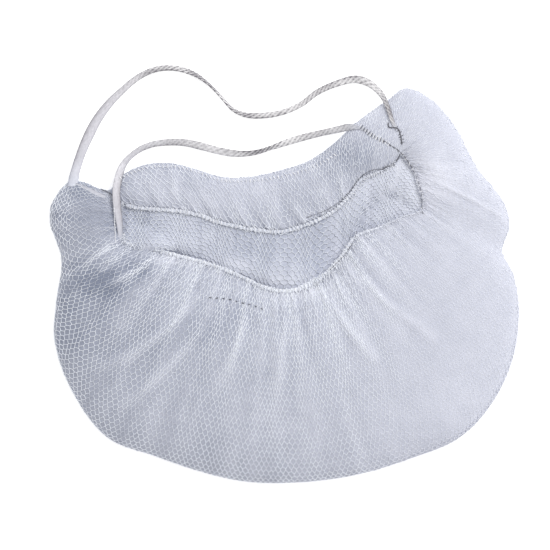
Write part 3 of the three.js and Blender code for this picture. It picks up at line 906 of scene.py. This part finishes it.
# The honeycomb threads. The net is knitted from one fine white nylon yarn into six-sided
# cells, open near the fold and drawn long and narrow where the rims gather them. Each
# zigzag course is one thread, and the straight legs that join the courses are others.
THREAD_RADIUS = 0.22 * MM
THREAD_SIDES = 3
THREAD_LIFT = 0.1 * MM
THREAD_WHITE = (0.91, 0.94, 1.0)
STRANDS_EACH_ROW = 3.52
STRANDS_ALONG = 1.92
CELL_SIDE = 2.5 * MM
CELL_LEG = 1.1 * MM
SHORTEST_ZIGZAG = 0.35
CELL_UNEVENNESS = 0.11 * MM
LOWER_UNEVENNESS = 0.12 * MM
GATHERED_UNEVENNESS = 2.6
GATHERED_WAY = 34 * MM
CELL_EVENNESS = 5
COURSE_EVENNESS = 41
CELLS_COUNTED_AT = 0.75
WRAP_SAMPLES = 9
WRAP_TURN = 1.12
PATH_SAMPLES = 72
FOLD_SAMPLES = 8
ROW_SAMPLES = 40
ACROSS_SAMPLES = 2000
COURSES = 96
random = np.random.default_rng(7)

# The rim draws the cells into bunches, which open out towards the fold: how many go round
# the mouth, how far they draw the cells in rows, and the turn of the first.
BUNCHES = ((39, 0.050, 1.2), (62, 0.030, 0.4))
BUNCHES_REACH = 1.1

# On the far wall the cells' columns lean over: most at this row, over so many rows beside
# it, and by so many rows on their way to the fold.
FAR_WALL_ROW = 29.5
FAR_WALL_ROWS = 3.2
FAR_WALL_TURN = 0.6


def new_tree(name, inputs, output):
    """An empty geometry tree with these named inputs and one output, and what it is given."""
    tree = bpy.data.node_groups.new(name, "GeometryNodeTree")
    for label, kind in inputs.items():
        tree.interface.new_socket(label, in_out="INPUT", socket_type="NodeSocket" + kind)
    tree.interface.new_socket(output, in_out="OUTPUT", socket_type="NodeSocketGeometry")
    return tree, tree.nodes.new("NodeGroupInput").outputs


def finish_tree(tree, made, material, output):
    """Ends a tree: what it made is shaded smoothly, made real and given its material."""
    smooth = add_node(tree, "GeometryNodeSetShadeSmooth", {}, {"Geometry": made})
    real = add_node(tree, "GeometryNodeRealizeInstances", {}, {"Geometry": smooth.outputs[0]})
    dressing = {"Geometry": real.outputs[0], "Material": material}
    dressed = add_node(tree, "GeometryNodeSetMaterial", {}, dressing)
    add_node(tree, "NodeGroupOutput", {}, {output: dressed.outputs[0]})


def along_curve(tree, curve, radius, sides):
    """A round thread along a curve in a tree, closed at its ends."""
    section_sizes = {"Resolution": sides, "Radius": radius}
    section = add_node(tree, "GeometryNodeCurvePrimitiveCircle", {}, section_sizes)
    parts = {"Curve": curve, "Profile Curve": section.outputs[0], "Fill Caps": True}
    return add_node(tree, "GeometryNodeCurveToMesh", {}, parts).outputs[0]


def thread_tree():
    """Turns a net's lines into round threads, from its named radius and material."""
    inputs = {"Lines": "Geometry", "Thread radius": "Float", "Material": "Material"}
    tree, given = new_tree("net_threads", inputs, "Threads")
    lines = add_node(tree, "GeometryNodeMeshToCurve", {}, {"Mesh": given["Lines"]})
    threads = along_curve(tree, lines.outputs[0], given["Thread radius"], THREAD_SIDES)
    finish_tree(tree, threads, given["Material"], "Threads")
    return tree


def made_real(piece, tree, inputs):
    """Runs a geometry tree on a piece with these inputs and keeps the result as its mesh."""
    modifier = piece.modifiers.new("make", "NODES")
    modifier.node_group = tree
    for item in tree.interface.items_tree:
        if item.item_type == "SOCKET" and item.in_out == "INPUT" and item.name in inputs:
            modifier[item.identifier] = inputs[item.name]
    bpy.context.view_layer.update()
    evaluated = piece.evaluated_get(bpy.context.evaluated_depsgraph_get())
    mesh = bpy.data.meshes.new_from_object(evaluated)
    piece.modifiers.remove(modifier)
    piece.data = mesh


thread = Finish("white_net_thread", roughness=0.55, sheen=0.1)
round_and_out = {"X": thread.kept("round"), "Y": thread.kept("out")}
strand = thread.noise_at(thread.node("ShaderNodeCombineXYZ", {}, round_and_out), 1.0, 3.0)
ground_tone = (thread.kept("tone") + thread.kept("plain") * 0.10).held()
ground = thread.colours(ground_tone, HAZE_DARK, HAZE_LIGHT)
# The threads are painted lighter on the ridges.
lit = 0.66 + (strand - 0.5) * 2.2 + (thread.noise(5 * MM) - 0.5) * 1.2 + thread.kept("ridge") * 0.18
lit = (lit.held() * thread.kept("plain") * 1.3).held()
thread.put("Base Color", thread.colours(lit, ground, THREAD_WHITE))
net_threads = thread_tree()


def net_place(row, share):
    """The net's own places: over the hem for shares below 0, then down the upper wall."""
    centre, inward = hem_frame(row)
    turn = np.pi * (1 + WRAP_TURN * np.clip(share, -1, 0))
    slim = np.interp(row % ROWS, *zip(*HEM_SLIMS))
    level = (np.cos(turn) + 1) * slim * (HEM_WIDTH / 2 + HEM_RUFFLE) - HEM_WIDTH / 2
    level = inward * level[..., None]
    rise = np.sin(turn) * slim * (HEM_HEIGHT / 2 + HEM_RUFFLE)
    over = centre + np.concatenate([level, rise[..., None]], axis=-1)
    return np.where((share < 0)[..., None], over, upper_wall(row % ROWS, np.clip(share, 0, 2)))


def even(values, width):
    """A running mean round the mouth."""
    return sum(np.roll(values, step) for step in range(-(width // 2), width // 2 + 1)) / width


def upper_columns():
    """The rows that the columns of half cells on the upper wall start at."""
    fine_rows = np.linspace(0, ROWS, ROW_SAMPLES * ROWS + 1)
    near_fold = upper_wall(fine_rows, np.full_like(fine_rows, CELLS_COUNTED_AT))
    steps = np.linalg.norm(np.diff(near_fold, axis=0), axis=1)
    cell_sizes = section_value("cell", (fine_rows[1:] + fine_rows[:-1]) / 2) * MM
    cells = np.concatenate([[0], np.cumsum(steps / cell_sizes)])
    half_columns = 2 * round(cells[-1])
    return np.interp(np.arange(half_columns) / half_columns * cells[-1], cells, fine_rows)


def within_outline(points):
    """Whether each point lies inside the pouch's outline."""
    inside = np.zeros(len(points), bool)
    edge = wall[-1, :, :2]
    for (x0, y0), (x1, y1) in zip(edge, np.roll(edge, -1, axis=0)):
        crossed = (y0 > points[:, 1]) != (y1 > points[:, 1])
        inside ^= crossed & (points[:, 0] < x0 + (points[:, 1] - y0) / ((y1 - y0) or 1) * (x1 - x0))
    return inside


def honeycomb(parts, column_rows, placed, first_share, on_top):
    """One layer of the net as named parts, each between two rows, laid out by a function
    that places rows and shares of the way out."""
    half_columns = len(column_rows)
    shares = np.concatenate([
        np.linspace(first_share, 0, WRAP_SAMPLES, endpoint=False),
        np.linspace(0, 1, PATH_SAMPLES) ** RING_CROWDING,
        1 + np.arange(1, FOLD_SAMPLES + 1) / FOLD_SAMPLES,
    ])
    row_mesh, share_mesh = np.meshgrid(column_rows, shares, indexing="ij")
    if on_top:
        turns = 2 * np.pi / ROWS * row_mesh
        bunch = sum(draw * np.sin(count * turns + turn) for count, draw, turn in BUNCHES)
        row_mesh = row_mesh + bunch * np.clip(1 - np.clip(share_mesh, 0, 1) / BUNCHES_REACH, 0, 1)
        far_wall = np.exp(-(((row_mesh - FAR_WALL_ROW) / FAR_WALL_ROWS) ** 2))
        row_mesh = row_mesh - FAR_WALL_TURN * far_wall * np.clip(share_mesh, 0, 1)
        row_mesh = row_mesh - crease_pull(row_mesh, share_mesh)
    paths = placed(row_mesh, share_mesh)
    seen = plain_at(paths[..., 0], paths[..., 1], ())
    paths[..., 2] += CLOTH_THICKNESS + THREAD_LIFT * (2 * np.clip(seen, 0, 1) - 1)
    leg = np.linalg.norm(np.diff(paths, axis=1), axis=2)
    lengths = np.concatenate([np.zeros((half_columns, 1)), np.cumsum(leg, axis=1)], axis=1)
    cell_widths = np.linalg.norm(np.roll(paths, -1, axis=0) - np.roll(paths, 1, axis=0), axis=2)

    leg_shares = section_value("leg", column_rows)
    if not on_top:
        leg_shares = lower_cell((column_rows / ROWS * 2 - 1) * HALF_WIDTH) / lower_cell(0)
    sides = CELL_SIDE * np.clip(leg_shares, 0, 1)
    low = np.zeros(half_columns)
    course_low, course_high = [], []
    for course in range(COURSES):
        width = [np.interp(low[c], lengths[c], cell_widths[c]) for c in range(half_columns)]
        width = even(np.array(width), CELL_EVENNESS)
        zigzag = np.sqrt(np.clip(sides ** 2 - (width / 2) ** 2, (SHORTEST_ZIGZAG * sides) ** 2, None))
        course_low.append(low)
        course_high.append(low + zigzag)
        low = even(low, CELL_EVENNESS) + even(zigzag, COURSE_EVENNESS) + CELL_LEG * leg_shares
    course_low, course_high = np.array(course_low), np.array(course_high)

    peak = (np.arange(half_columns)[None, :] + np.arange(COURSES)[:, None]) % 2 == 1
    distance = np.where(peak, course_high, course_low)
    crinkle = LOWER_UNEVENNESS
    if on_top:
        crinkle = CELL_UNEVENNESS * (1 + GATHERED_UNEVENNESS * np.exp(-distance / GATHERED_WAY))
    distance = distance + random.normal(0, 1, distance.shape) * crinkle
    full = lengths[:, -1][None, :]
    beyond = distance > full
    distance = np.clip(distance, 0, full)
    kept = np.concatenate([paths, row_mesh[..., None], share_mesh[..., None]], axis=2)
    knots = np.empty((COURSES, half_columns, 5))
    for c in range(half_columns):
        for axis in range(5):
            knots[:, c, axis] = np.interp(distance[:, c], lengths[c], kept[c, :, axis])
    knots[..., :2] += random.normal(0, 1, (COURSES, half_columns, 2)) * (crinkle * ~beyond)[..., None]

    beside = np.roll(knots, -1, axis=1)
    zigzags = ~(beyond & np.roll(beyond, -1, axis=1))
    legs = peak[:-1] & ~beyond[:-1]
    nets = []
    for name, first_row, last_row in parts:
        here = (column_rows >= first_row) & (column_rows < last_row)
        starts = np.concatenate([knots[zigzags & here], knots[:-1][legs & here]])
        ends = np.concatenate([beside[zigzags & here], knots[1:][legs & here]])
        if not on_top:
            kept_in = within_outline(starts) & within_outline(ends)
            starts, ends = starts[kept_in], ends[kept_in]
        points = np.stack([starts, ends], axis=1).reshape(-1, 5)
        net = piece_from(name, points[:, :3], (), np.arange(len(points)).reshape(-1, 2))
        x, y, _, rows, shares_out = points.T
        shares_out = np.clip(shares_out, 0, 1)
        creased = crease_height(rows % ROWS, shares_out) / MM * CREASE_BRIGHTNESS
        store(net, "tone", tone_at(x, y, LIGHT_AND_SHADE_SPOTS if on_top else LOWER_LIGHT_AND_SHADE_SPOTS))
        store(net, "plain", plain_at(x, y, PLAIN_SPOTS) if on_top else np.ones(len(points)))
        # For the painted light on the ridges and shade in the valleys.
        store(net, "ridge", (creased + gather_wave(rows, shares_out)) * on_top)
        store(net, "round", rows * STRANDS_EACH_ROW)
        store(net, "out", shares_out * STRANDS_ALONG)
        made_real(net, net_threads, {"Thread radius": THREAD_RADIUS, "Material": thread.material})
        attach(net, "root")
        nets.append(net)
    return nets


# The lower wall's own cells lie square to the pouch, a little drawn together in places:
# their width in mm at places across it.
LOWER_CELLS = ((-141, 3.3), (-100, 2.7), (-46, 2.7), (-20, 3.4), (28, 3.4), (52, 2.3), (141, 2.6))
LOWER_SWAY = 1.5 * MM
LOWER_SWAY_LENGTH = 3.9 * MM
LOWER_LIFT = 0.33 * MM


def lower_cell(x):
    """The width of the lower wall's cells at places across it, in metres."""
    return np.interp(x / MM, *zip(*LOWER_CELLS)) * MM


def lower_place(row, share):
    """Places on the lower wall, whose rows run straight from its far to its near side."""
    x = (row / ROWS * 2 - 1) * HALF_WIDTH
    x = x + LOWER_SWAY * np.sin(x / LOWER_SWAY_LENGTH)
    y = (1 - 2 * np.clip(share, 0, 1)) * HALF_DEPTH
    return np.stack([x, y, lower_height(x, y) + LOWER_LIFT], axis=-1)


def lower_columns():
    """The rows that the columns of half cells on the lower wall start at."""
    across = np.linspace(-HALF_WIDTH, HALF_WIDTH, ACROSS_SAMPLES)
    cells = np.concatenate([[0], np.cumsum(np.diff(across) / lower_cell(across[1:]))])
    half_columns = 2 * round(cells[-1])
    places = np.interp(np.arange(half_columns) / half_columns * cells[-1], cells, across)
    return (places / HALF_WIDTH + 1) / 2 * ROWS


OVER_THE_HEM = -1
NO_HEM = -0.01
upper_parts = (("near_net_threads", 0, 14), ("side_net_threads", 14, 24), ("far_net_threads", 24, ROWS))
upper_threads = honeycomb(upper_parts, upper_columns(), net_place, OVER_THE_HEM, True)
lower_rows = lower_columns()
lower_parts = (("lower_net_threads", 0, lower_rows[-1]),)
lower_threads = honeycomb(lower_parts, lower_rows, lower_place, NO_HEM, False)


# The far elastic runs on over the left lobe's folded upper edge, flat and drawn tight
# under a single layer of net, out to the corner where its loop leaves.
LOBE_EDGE = ((-0.76, 0.44, 0.44), (-0.80, 0.46, 0.43), (-0.84, 0.48, 0.385), (-0.89, 0.50, 0.29))
lobe_route = [(x * HALF_WIDTH / MM, y * HALF_DEPTH / MM, z * LOFT / MM) for x, y, z in LOBE_EDGE]
lobe_lay = ((0.0, 0.70, 0, 0.3, 0.6), (1.0, 1.05, 0, 0.3, 0.6))
lobe_path = smooth_route(lobe_route, RIBBON_STEP / MM) * MM
lobe_elastic, _ = elastic_ribbon("lobe_edge_elastic_flat", lobe_path, lobe_lay)
lobe_elastic.data.materials.append(elastic.material)
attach(lobe_elastic, "root")
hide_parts("lobe_edge_elastic")


# The sewing. White overlock stitches cross the hems and the net's folded edges, and small
# dark stitches lie at the elastics' ends. Dark thread is also laid as painted shadow lines
# along the rims' right parts and between the near elastic's white bars.
STITCH_SIDES = 6
STITCH_SEGMENTS = 5
SHORTEST_STITCH = 0.8
LONGEST_STITCH = 1.15
LINE_LIFT = 0.25 * MM
LINE_STEP = 1.0 * MM
LINE_EVENNESS = 5
SEEN_FROM = 0.1
SEWING_SHADE = (0.60, 0.61, 0.68)
SEWING_WHITE = (1.0, 1.0, 1.0)
DARK_THREAD_AND_SHADE = (0.02, 0.02, 0.03)
DARK_THREAD_AND_SHADE_GREY = (0.20, 0.20, 0.23)

# Where the sewn pieces are felt for under a line, in mm from each of its points.
FEELERS = ((0, 0), (0.8, 0), (-0.8, 0), (0, 0.8), (0, -0.8))


def stitch_tree():
    """Small bent stitches along a line, from named sizes, each turned from square across."""
    inputs = {
        "Line": "Geometry", "Pitch": "Float", "Stitch length": "Float", "Bend": "Float",
        "Thread radius": "Float", "Turn": "Float", "Unevenness": "Float", "Seed": "Int",
        "Material": "Material",
    }
    tree, given = new_tree("stitch_row", inputs, "Stitches")

    def node(kind, settings, inputs, output=0):
        return add_node(tree, kind, settings, inputs).outputs[output]

    def maths(operation, first, second):
        return node("ShaderNodeMath", {"operation": operation}, {0: first, 1: second})

    def uneven(least, most, seed):
        values = {2: least, 3: most, "Seed": seed}
        return node("FunctionNodeRandomValue", {"data_type": "FLOAT"}, values, output=1)

    line = node("GeometryNodeMeshToCurve", {}, {"Mesh": given["Line"]})
    spacing = {"Curve": line, "Length": given["Pitch"]}
    places = add_node(tree, "GeometryNodeCurveToPoints", {"mode": "LENGTH"}, spacing).outputs
    level = {0: places["Tangent"], 1: (0.0, 0.0, 1.0)}
    across = node("ShaderNodeVectorMath", {"operation": "CROSS_PRODUCT"}, level)
    least_turn = maths("MULTIPLY", given["Unevenness"], -1.0)
    turn = maths("ADD", given["Turn"], uneven(least_turn, given["Unevenness"], given["Seed"]))
    turned = node("ShaderNodeVectorRotate", {"rotation_type": "Z_AXIS"}, {"Vector": across, "Angle": turn})
    facing = node(
        "FunctionNodeAxesToRotation", {"primary_axis": "Z", "secondary_axis": "X"},
        {"Primary Axis": (0.0, 0.0, 1.0), "Secondary Axis": turned},
    )

    half = maths("MULTIPLY", given["Stitch length"], 0.5)
    low = maths("MULTIPLY", given["Bend"], -1.0)
    first = node("ShaderNodeCombineXYZ", {}, {"X": maths("MULTIPLY", half, -1.0), "Z": low})
    middle = node("ShaderNodeCombineXYZ", {}, {"Z": given["Bend"]})
    last = node("ShaderNodeCombineXYZ", {}, {"X": half, "Z": low})
    bent_sizes = {"Resolution": STITCH_SEGMENTS, "Start": first, "Middle": middle, "End": last}
    bent = node("GeometryNodeCurveQuadraticBezier", {}, bent_sizes)
    stitch = along_curve(tree, bent, given["Thread radius"], STITCH_SIDES)
    scale = uneven(SHORTEST_STITCH, LONGEST_STITCH, maths("ADD", given["Seed"], 1))
    row = node(
        "GeometryNodeInstanceOnPoints", {},
        {"Points": places[0], "Instance": stitch, "Rotation": facing, "Scale": scale},
    )
    finish_tree(tree, row, given["Material"], "Stitches")
    return tree


white_stitch = Finish("white_sewing_thread", roughness=0.6)
fluff = white_stitch.noise(2.2 * MM)
white_stitch.put("Base Color", white_stitch.colours(fluff, SEWING_SHADE, SEWING_WHITE))
dark_thread_and_shade = Finish("dark_thread_and_painted_shade", roughness=0.7)
dark_fluff = dark_thread_and_shade.noise(3.0 * MM)
dark_thread_and_shade.put("Base Color", dark_thread_and_shade.colours(dark_fluff, DARK_THREAD_AND_SHADE, DARK_THREAD_AND_SHADE_GREY))
stitches = stitch_tree()

surfaces = []
for piece in (pouch, *hems, *loops.values()):
    corners = [tuple(vertex.co) for vertex in piece.data.vertices]
    surfaces.append(BVHTree.FromPolygons(corners, [tuple(face.vertices) for face in piece.data.polygons]))


def laid_on(places):
    """A line through places given in mm, laid on whatever lies highest beneath it."""
    path = smooth_route([(x, y, 0) for x, y in places], LINE_STEP / MM) * MM
    for point in path:
        heights = []
        for aside_x, aside_y in FEELERS:
            start = (point[0] + aside_x * MM, point[1] + aside_y * MM, SEEN_FROM)
            for surface in surfaces:
                hit = surface.ray_cast(start, (0, 0, -1))[0]
                if hit:
                    heights.append(hit.z)
        point[2] = max(heights) + LINE_LIFT
    padded = np.pad(path[:, 2], LINE_EVENNESS // 2, mode="edge")
    path[:, 2] = np.convolve(padded, np.ones(LINE_EVENNESS) / LINE_EVENNESS, mode="valid")
    return path


def stitch_row(name, path, finish, pitch, length, bend, radius, turn, unevenness, seed):
    """Makes one row of stitches along a path, from sizes in mm and degrees."""
    row = piece_from(name, path, (), [(index, index + 1) for index in range(len(path) - 1)])
    made_real(row, stitches, {
        "Pitch": pitch * MM, "Stitch length": length * MM, "Bend": bend * MM,
        "Thread radius": radius * MM, "Turn": math.radians(turn),
        "Unevenness": math.radians(unevenness), "Seed": seed, "Material": finish.material,
    })
    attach(row, "root")


# Each row of stitches: its thread, pitch, stitch length, bend and thread radius in mm, its
# turn from square across the line and unevenness in degrees, and its line in mm.
STITCH_ROWS = (
    ("near_elastic_bars", white_stitch, 1.9, 2.6, 0.15, 0.24, 0, 12,
     ((45.3, 95.0), (52.5, 89.1), (58.5, 86.2), (62.1, 84.0))),
    # Dark thread in the gaps between the white bars: painted shade.
    ("near_elastic_gaps", dark_thread_and_shade, 1.9, 2.4, 0.10, 0.20, 8, 12,
     ((46.0, 94.3), (52.9, 88.7), (58.9, 85.8))),
    ("near_elastic_seam", dark_thread_and_shade, 2.9, 2.4, 0.10, 0.22, 90, 8,
     ((60.0, 85.4), (62.1, 84.0), (69.0, 79.2), (73.5, 73.5), (75.3, 70.8))),
    ("mouth_end_seam", dark_thread_and_shade, 3.4, 2.2, 0.10, 0.17, 90, 10,
     ((75.3, 70.8), (78.8, 63.6), (81.0, 57.0), (82.2, 43.2))),
    ("mouth_end_bars", white_stitch, 3.4, 1.9, 0.15, 0.20, 20, 25,
     ((70.0, 78.0), (74.8, 71.6), (78.4, 64.6), (80.4, 58.0), (81.4, 46.0))),
    ("far_elastic_tack", dark_thread_and_shade, 1.0, 1.5, 0.10, 0.28, 90, 14,
     ((61.8, 96.0), (62.2, 94.2), (67.3, 93.3), (69.2, 88.5), (69.8, 84.5))),
    ("far_elastic_hairs", dark_thread_and_shade, 1.7, 3.0, -0.20, 0.16, 10, 30,
     ((66.8, 93.6), (69.2, 89.5), (70.2, 85.0))),
    ("far_elastic_seam", dark_thread_and_shade, 1.5, 1.7, 0.10, 0.30, 90, 8,
     ((68.6, 77.4), (67.4, 74.8), (65.1, 72.6), (58.9, 69.3))),
    ("far_elastic_frill", white_stitch, 1.6, 2.0, 0.10, 0.18, 0, 25,
     ((66.0, 71.6), (59.4, 67.4), (50.0, 64.6), (43.0, 57.0), (36.0, 45.0))),
    # A dark thread along the far hem's edge: a painted shadow line.
    ("far_rim_seam", dark_thread_and_shade, 2.1, 1.8, 0.05, 0.17, 90, 12,
     ((58.9, 69.3), (51.3, 68.2), (45.3, 64.2), (39.0, 56.0), (33.0, 50.0), (24.3, 44.4), (14.0, 40.6))),
    # A dark thread along the near hem's edge: a painted shadow line.
    ("near_rim_seam", dark_thread_and_shade, 2.1, 1.7, 0.05, 0.17, 90, 12,
     ((43.0, 31.5), (41.2, 26.5), (37.2, 20.0), (33.0, 15.0), (27.3, 9.4))),
    ("near_rim_second_seam", dark_thread_and_shade, 3.7, 1.5, 0.10, 0.27, 90, 40,
     ((-44.0, -7.4), (-39.3, -7.8), (-33.0, -8.2), (-26.7, -10.2), (-20.0, -11.6), (-13.5, -14.0))),
    ("lobe_edge_tack", dark_thread_and_shade, 2.2, 2.0, 0.10, 0.30, 90, 14,
     ((-108.6, 56.8), (-105.6, 55.6), (-102.3, 53.4))),
    ("near_elastic_end_thread", white_stitch, 1.6, 2.2, 0.10, 0.20, 78, 8,
     ((-101.6, 48.0), (-101.3, 40.0), (-101.0, 33.0), (-100.6, 26.0))),
    ("far_fold_stitches", white_stitch, 2.4, 1.7, 0.22, 0.29, 20, 30,
     ((-98.0, 64.0), (-86.0, 69.0), (-74.0, 71.0), (-62.0, 70.2), (-50.0, 66.8), (-40.0, 63.2), (-28.0, 62.0),
      (-16.0, 62.6), (-4.0, 64.4), (8.0, 67.2), (20.0, 71.8), (30.0, 77.6))),
)
for seed, (name, finish, *sizes, line) in enumerate(STITCH_ROWS):
    stitch_row(name, laid_on(line), finish, *sizes, seed * 2)

# The overlock over each hem, with its sizes in the same order and the rows it runs between.
OVERLOCK_SIZES = (2.3, 2.5, 0.24, 0.22, 0, 30)
OVERLOCKS = (("near_rim_overlock", (0.8, 12.6)), ("far_rim_overlock", (26.2, 35.1)))
OVERLOCK_SAMPLES = 160
for seed, (name, rows) in enumerate(OVERLOCKS, len(STITCH_ROWS)):
    top, _ = hem_frame(np.linspace(*rows, OVERLOCK_SAMPLES))
    top[:, 2] += HEM_HEIGHT / 2 + HEM_RUFFLE
    stitch_row(name, top, white_stitch, *OVERLOCK_SIZES, seed * 2)


# The table top and the light. A white table runs on past the picture, under a large soft
# lamp from the far right and even light from all round.
TABLE_RADIUS = 6.0
TABLE_SIDES = 64
TABLE_DROP = 0.2 * MM
TABLE_WHITE = (0.93, 0.93, 0.93, 1.0)
TABLE_GLOW = 0.45
ALL_ROUND_LIGHT = 0.72
LAMP_PLACE = (0.9, 1.1, 1.5)
LAMP_SIZE = 0.9
LAMP_POWER = 26.0
FULL_WHITE = (1.0, 1.0, 1.0, 1.0)

table_turns = [2 * math.pi * side / TABLE_SIDES for side in range(TABLE_SIDES)]
table_points = [
    (TABLE_RADIUS * math.cos(turn), TABLE_RADIUS * math.sin(turn), -TABLE_DROP) for turn in table_turns
]
table_top = piece_from("table_top", table_points, [tuple(range(TABLE_SIDES))])
table_white = Finish("white_table", roughness=0.9)
table_white.surface.inputs["Base Color"].default_value = TABLE_WHITE
table_white.surface.inputs["Emission Color"].default_value = FULL_WHITE
table_white.surface.inputs["Emission Strength"].default_value = TABLE_GLOW
table_top.data.materials.append(table_white.material)
table_top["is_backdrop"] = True

world = bpy.data.worlds.new("studio_light")
world.use_nodes = True
world.node_tree.nodes["Background"].inputs["Color"].default_value = FULL_WHITE
world.node_tree.nodes["Background"].inputs["Strength"].default_value = ALL_ROUND_LIGHT
bpy.context.scene.world = world

lamp_data = bpy.data.lights.new("soft_lamp", "AREA")
lamp_data.shape = "SQUARE"
lamp_data.size = LAMP_SIZE
lamp_data.energy = LAMP_POWER
lamp = bpy.data.objects.new("soft_lamp", lamp_data)
lamp.location = LAMP_PLACE
lamp.rotation_euler = (-Vector(LAMP_PLACE)).to_track_quat("-Z", "Y").to_euler()
bpy.context.collection.objects.link(lamp)

sizes = {
    "cad": [list(corner) for corner in cad_box],
    "visual": [list(corner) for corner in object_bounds()],
}
